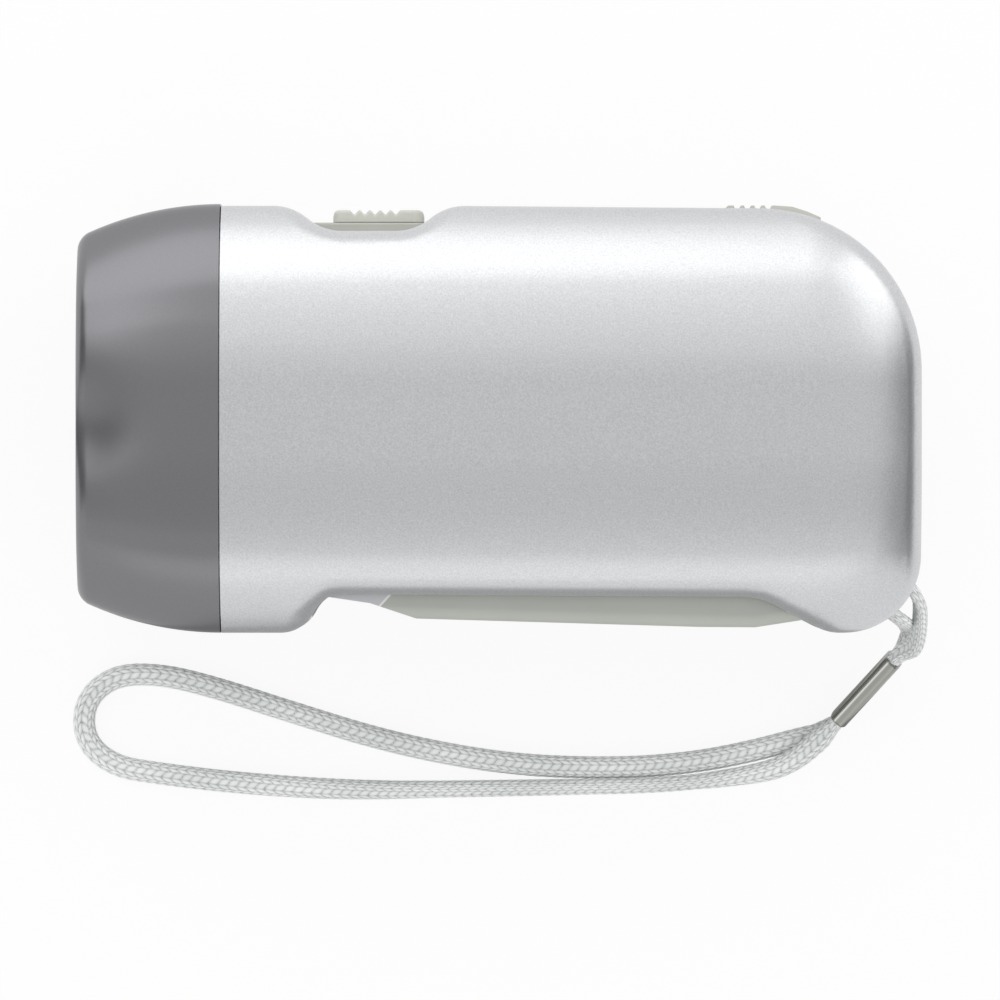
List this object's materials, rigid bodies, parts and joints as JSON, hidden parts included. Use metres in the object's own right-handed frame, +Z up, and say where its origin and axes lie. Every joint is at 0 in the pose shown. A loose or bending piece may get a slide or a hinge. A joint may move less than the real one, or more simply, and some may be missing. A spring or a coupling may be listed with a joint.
{
  "type": "squeeze lever dynamo torch",
  "caption": "Hand-held torch charged by a squeeze lever: toothed sector, step-up gears and flywheel dynamo in a crowned clamshell, grey lens bezel, lock slider and braided wrist strap.",
  "frame": {"origin": "centre of the footprint of the torch without its strap, on the surface that it lies on", "axes": "+X towards the rear, away from the lens; +Y towards the edge with the switch; +Z up, square to the wide sides"},
  "size_m": [0.1082, 0.075, 0.043],
  "materials": {
    "silver_shell": "satin silver lacquer",
    "grey_bezel": "satin grey",
    "clear_lens": "clear, polished",
    "mirror_plating": "vacuum-plated mirror",
    "board": "green laminate",
    "lamp_clear": "clear epoxy",
    "grey_lever": "satin light grey",
    "slider_grey": "satin warm grey",
    "gear_nylon": "natural nylon",
    "black_plastic": "matt black",
    "steel": "bright steel",
    "spring_steel": "spring steel",
    "magnet": "sintered ferrite",
    "copper_wire": "enamelled copper",
    "braid": "flat woven braid",
    "crimp": "nickel-plated brass"
  },
  "bodies": {
    "housing": {"shell_upper": "silver_shell", "shell_lower": "silver_shell", "shell_screws": "steel", "bezel": "grey_bezel", "lens": "clear_lens", "reflector": "mirror_plating", "lamp_board": "board", "lamps": "lamp_clear", "return_spring": "spring_steel", "gear_plate": "gear_nylon", "plate_screws": "steel", "drive_axle": "steel", "middle_axle": "steel", "rotor_axle": "steel", "lever_pin": "steel", "claw_plate_lower": "steel", "claw_plate_upper": "steel", "bobbin": "gear_nylon", "winding": "copper_wire", "stator_core": "steel", "switch_plate": "slider_grey", "slide_switch": "black_plastic", "circuit_board": "board", "coin_cell": "steel", "cell_clip": "spring_steel", "diodes": "black_plastic", "capacitor": "black_plastic", "strap_bar": "steel", "strap_ferrule": "crimp", "braid_in_ferrule": "braid", "hang_loop": "braid", "wrist_loop": "braid"},
    "lever": {"lever": "grey_lever", "sector_gear": "gear_nylon", "sector_pin": "steel"},
    "drive_train": {"drive_pinion": "gear_nylon", "drive_wheel": "gear_nylon", "ratchet_pawls": "gear_nylon"},
    "middle_gear": {"middle_gear": "gear_nylon"},
    "rotor": {"rotor_pinion": "gear_nylon", "flywheel": "steel", "ring_magnet": "magnet"},
    "switch": {"switch_knob": "slider_grey"},
    "lock": {"lock_slider": "slider_grey"}
  },
  "joints": [
    {"name": "lever_hinge", "type": "hinge", "parent": "housing", "child": "lever", "pos_m": [0.038, -0.0168, 0.0215], "axis": [0, 0, 1], "range_deg": [0, 24]},
    {"name": "drive_spin", "type": "hinge", "parent": "housing", "child": "drive_train", "pos_m": [-0.01274, 0.00167, 0.0215], "axis": [0, 0, 1], "continuous": true},
    {"name": "middle_spin", "type": "hinge", "parent": "housing", "child": "middle_gear", "pos_m": [0.00469, 0.00616, 0.0215], "axis": [0, 0, 1], "continuous": true},
    {"name": "rotor_spin", "type": "hinge", "parent": "housing", "child": "rotor", "pos_m": [0.017, 0.004, 0.0215], "axis": [0, 0, 1], "continuous": true},
    {"name": "switch_slide", "type": "slide", "parent": "housing", "child": "switch", "axis": [1, 0, 0], "range_m": [-0.003, 0]},
    {"name": "lock_slide", "type": "slide", "parent": "housing", "child": "lock", "axis": [1, 0, 0], "range_m": [-0.0025, 0]}
  ],
  "couplings": [
    {"joint": "drive_spin", "follows": "lever_hinge", "ratio": -8},
    {"joint": "middle_spin", "follows": "lever_hinge", "ratio": 32},
    {"joint": "rotor_spin", "follows": "lever_hinge", "ratio": -128}
  ]
}
